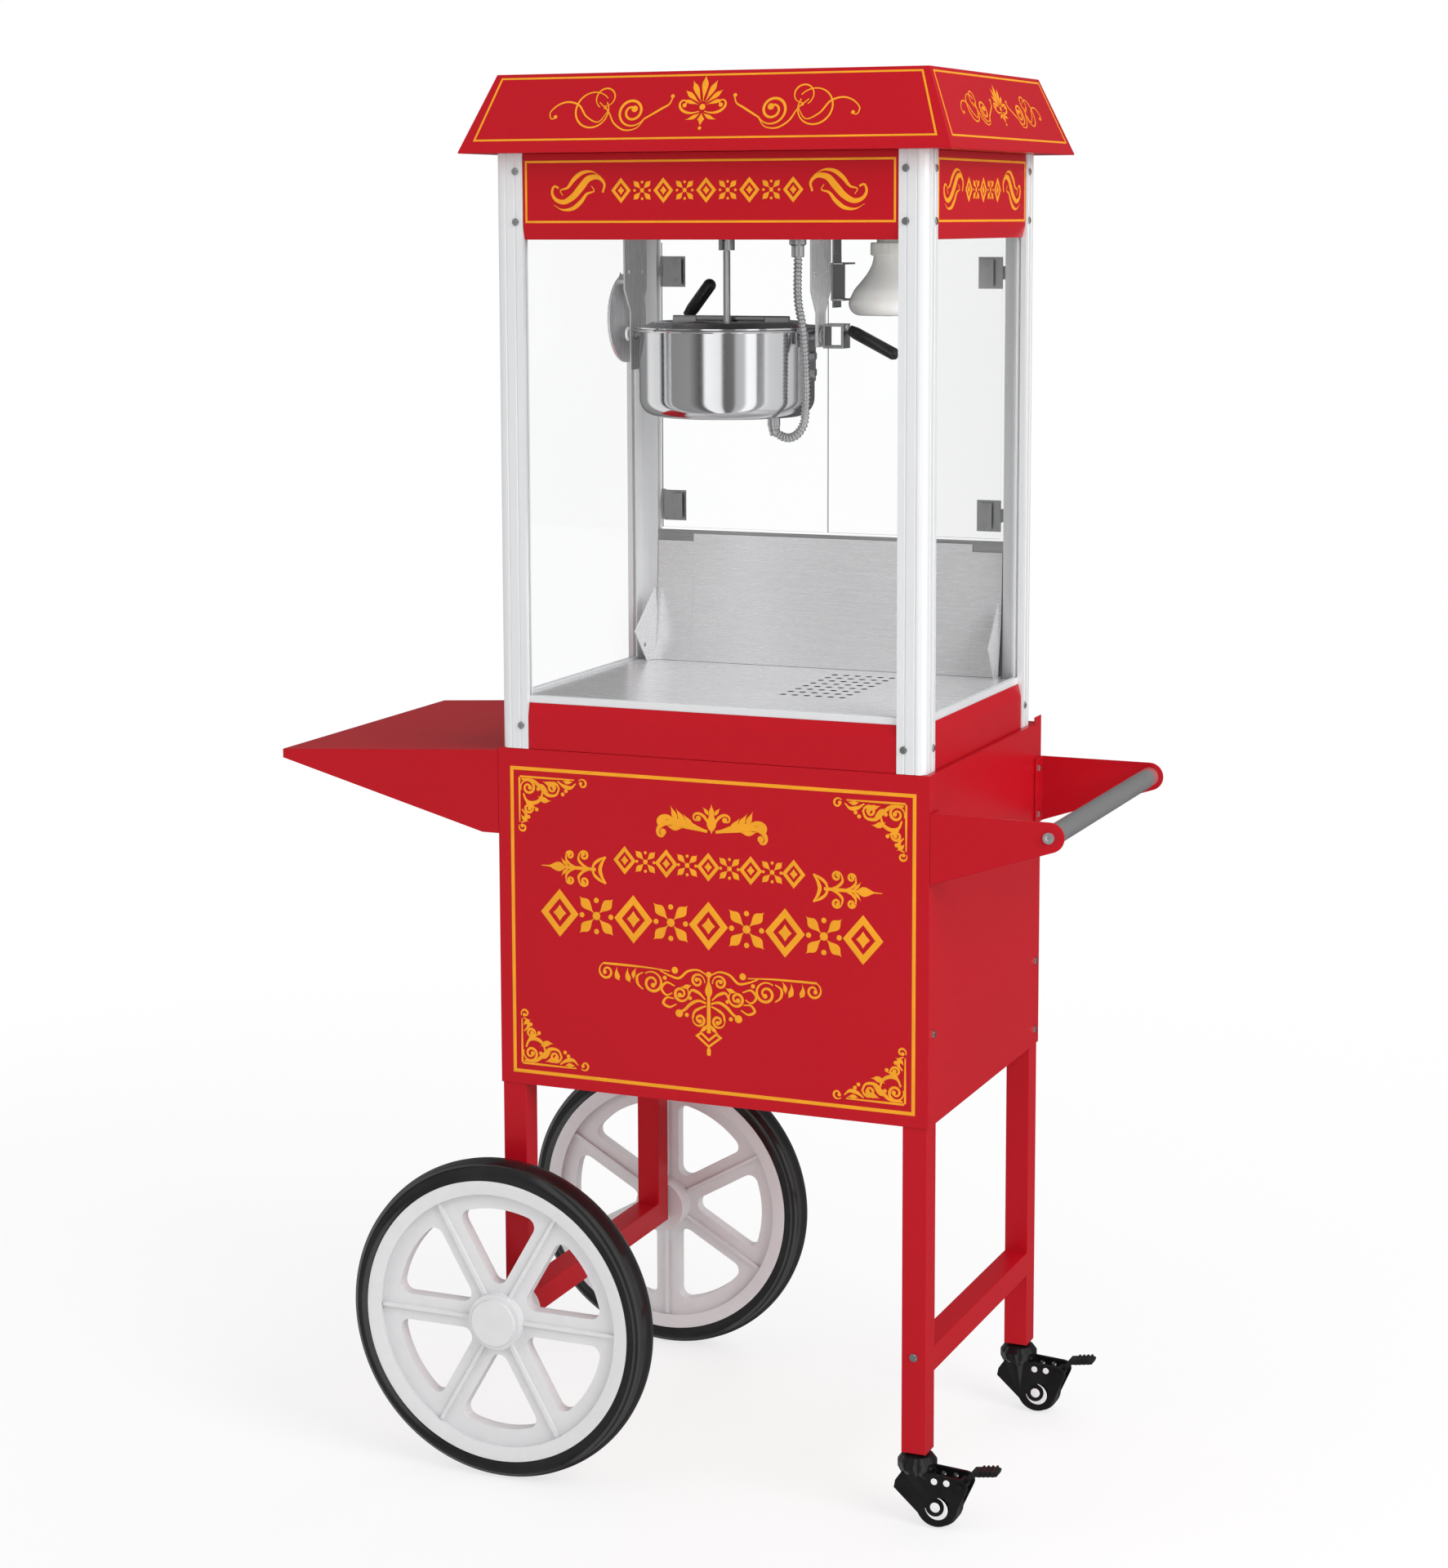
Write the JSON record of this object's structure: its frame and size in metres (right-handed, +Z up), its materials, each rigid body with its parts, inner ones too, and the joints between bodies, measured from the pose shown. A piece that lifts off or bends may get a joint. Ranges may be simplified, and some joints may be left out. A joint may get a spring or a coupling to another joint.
{
  "type": "popcorn maker",
  "caption": "Popcorn machine with a glazed popping cabinet, tilting kettle and hipped roof, standing on a painted cart with spoked wheels, casters, a side shelf and a push bar.",
  "frame": {"origin": "on the floor, under the centre of the object's bounding box", "axes": "+X towards the push handle, -Y towards the customer's side with the large front panel, +Z up"},
  "size_m": [0.925, 0.516, 1.5552],
  "materials": {
    "red_paint": "gloss",
    "brushed_steel": "brushed",
    "polished_steel": "polished",
    "satin_aluminium": "satin",
    "clear_pane": "clear",
    "chrome": "polished",
    "bulb_glass": "frosted white",
    "ceramic": "glazed",
    "conduit_metal": "corrugated",
    "grey_plastic": "satin",
    "tyre_rubber": "glossy",
    "black_plastic": "gloss",
    "black_grip": "satin",
    "switch_plastic": "satin"
  },
  "bodies": {
    "frame": {"roof_canopy": "red_paint", "sign_front": "red_paint", "sign_sides": "red_paint", "control_panel": "red_paint", "ceiling_plate": "brushed_steel", "corner_posts": "satin_aluminium", "glass_front": "clear_pane", "glass_sides": "clear_pane", "glass_channels": "satin_aluminium", "base_box": "red_paint", "deck_plate": "brushed_steel", "popcorn_ramp": "brushed_steel", "back_panel": "brushed_steel", "hinge_leaves": "brushed_steel", "gear_motor": "brushed_steel", "lamp_bracket": "brushed_steel", "lamp_socket": "ceramic", "lamp_bulb": "bulb_glass", "kettle_hangers": "brushed_steel", "heater_conduit": "conduit_metal", "rear_fittings": "switch_plastic", "cabinet_front": "red_paint", "cabinet_sides": "red_paint", "cabinet_decks": "red_paint", "side_shelf": "red_paint", "handle_arms": "red_paint", "push_bar": "chrome", "legs_left": "red_paint", "legs_right": "red_paint", "wheel_axle": "brushed_steel", "machine_screws": "brushed_steel", "cart_bolts": "brushed_steel"},
    "kettle": {"kettle_bowl": "polished_steel", "kettle_heater": "brushed_steel", "kettle_yoke": "brushed_steel", "dump_grip": "black_grip", "lid_front": "polished_steel"},
    "kettle_flap": {"lid_flap": "polished_steel", "lid_grip": "black_grip"},
    "stirrer_rod": {"stirrer": "brushed_steel"},
    "drive": {"drive_coupling": "brushed_steel"},
    "door_left": {"rear_door_left": "clear_pane", "leaves_left": "brushed_steel"},
    "door_right": {"rear_door_right": "clear_pane", "leaves_right": "brushed_steel"},
    "drawer": {"crumb_drawer": "brushed_steel"},
    "cart_door": {"cabinet_door": "red_paint"},
    "switch_light": {"rocker_light": "switch_plastic"},
    "switch_heat": {"rocker_heat": "switch_plastic"},
    "switch_motor": {"rocker_motor": "switch_plastic"},
    "wheel_front": {"rim_front": "grey_plastic", "tyre_front": "tyre_rubber"},
    "wheel_rear": {"rim_rear": "grey_plastic", "tyre_rear": "tyre_rubber"},
    "caster_front": {"caster_fork_front": "black_plastic"},
    "caster_rear": {"caster_fork_rear": "black_plastic"},
    "caster_roller_front": {"caster_wheel_front": "black_plastic"},
    "caster_roller_rear": {"caster_wheel_rear": "black_plastic"},
    "brake_front": {"brake_pedal_front": "black_plastic"},
    "brake_rear": {"brake_pedal_rear": "black_plastic"}
  },
  "joints": [
    {"name": "kettle_tilt", "type": "hinge", "parent": "frame", "child": "kettle", "pos_m": [0.011, -0.013, 1.272], "axis": [-1, 0, 0], "range_deg": [0, 70], "deforming": ["heater_conduit"]},
    {"name": "flap_swing", "type": "hinge", "parent": "kettle", "child": "kettle_flap", "pos_m": [0.011, -0.001, 1.2904], "axis": [1, 0, 0], "range_deg": [0, 70]},
    {"name": "stirrer_spin", "type": "hinge", "parent": "kettle", "child": "stirrer_rod", "pos_m": [0.011, -0.013, 1.242], "axis": [0, 0, 1], "continuous": true},
    {"name": "drive_spin", "type": "hinge", "parent": "frame", "child": "drive", "pos_m": [0.011, -0.013, 1.382], "axis": [0, 0, 1], "continuous": true},
    {"name": "door_left_swing", "type": "hinge", "parent": "frame", "child": "door_left", "pos_m": [-0.15, 0.175, 1.1285], "axis": [0, 0, 1], "range_deg": [0, 110]},
    {"name": "door_right_swing", "type": "hinge", "parent": "frame", "child": "door_right", "pos_m": [0.278, 0.175, 1.1285], "axis": [0, 0, -1], "range_deg": [0, 110]},
    {"name": "drawer_slide", "type": "slide", "parent": "frame", "child": "drawer", "axis": [0, 1, 0], "range_m": [0, 0.24]},
    {"name": "cart_door_swing", "type": "hinge", "parent": "frame", "child": "cart_door", "pos_m": [-0.1595, 0.2002, 0.632], "axis": [0, 0, 1], "range_deg": [0, 110]},
    {"name": "rocker_light", "type": "hinge", "parent": "frame", "child": "switch_light", "pos_m": [0.004, 0.1682, 1.433], "axis": [1, 0, 0], "range_deg": [0, 20]},
    {"name": "rocker_heat", "type": "hinge", "parent": "frame", "child": "switch_heat", "pos_m": [0.064, 0.1682, 1.433], "axis": [1, 0, 0], "range_deg": [0, 20]},
    {"name": "rocker_motor", "type": "hinge", "parent": "frame", "child": "switch_motor", "pos_m": [0.124, 0.1682, 1.433], "axis": [1, 0, 0], "range_deg": [0, 20]},
    {"name": "wheel_spin_front", "type": "hinge", "parent": "frame", "child": "wheel_front", "pos_m": [-0.173, -0.234, 0.182], "axis": [0, 1, 0], "continuous": true},
    {"name": "wheel_spin_rear", "type": "hinge", "parent": "frame", "child": "wheel_rear", "pos_m": [-0.173, 0.234, 0.182], "axis": [0, 1, 0], "continuous": true},
    {"name": "caster_swivel_front", "type": "hinge", "parent": "frame", "child": "caster_front", "pos_m": [0.301, -0.1815, 0.07], "axis": [0, 0, 1], "continuous": true},
    {"name": "caster_roll_front", "type": "hinge", "parent": "caster_front", "child": "caster_roller_front", "pos_m": [0.327, -0.1815, 0.025], "axis": [0, 1, 0], "continuous": true},
    {"name": "brake_press_front", "type": "hinge", "parent": "caster_front", "child": "brake_front", "pos_m": [0.353, -0.1815, 0.05], "axis": [0, 1, 0], "range_deg": [0, 18]},
    {"name": "caster_swivel_rear", "type": "hinge", "parent": "frame", "child": "caster_rear", "pos_m": [0.301, 0.1815, 0.07], "axis": [0, 0, 1], "continuous": true},
    {"name": "caster_roll_rear", "type": "hinge", "parent": "caster_rear", "child": "caster_roller_rear", "pos_m": [0.327, 0.1815, 0.025], "axis": [0, 1, 0], "continuous": true},
    {"name": "brake_press_rear", "type": "hinge", "parent": "caster_rear", "child": "brake_rear", "pos_m": [0.353, 0.1815, 0.05], "axis": [0, 1, 0], "range_deg": [0, 18]}
  ],
  "couplings": [
    {"joint": "stirrer_spin", "follows": "drive_spin", "ratio": 1}
  ]
}
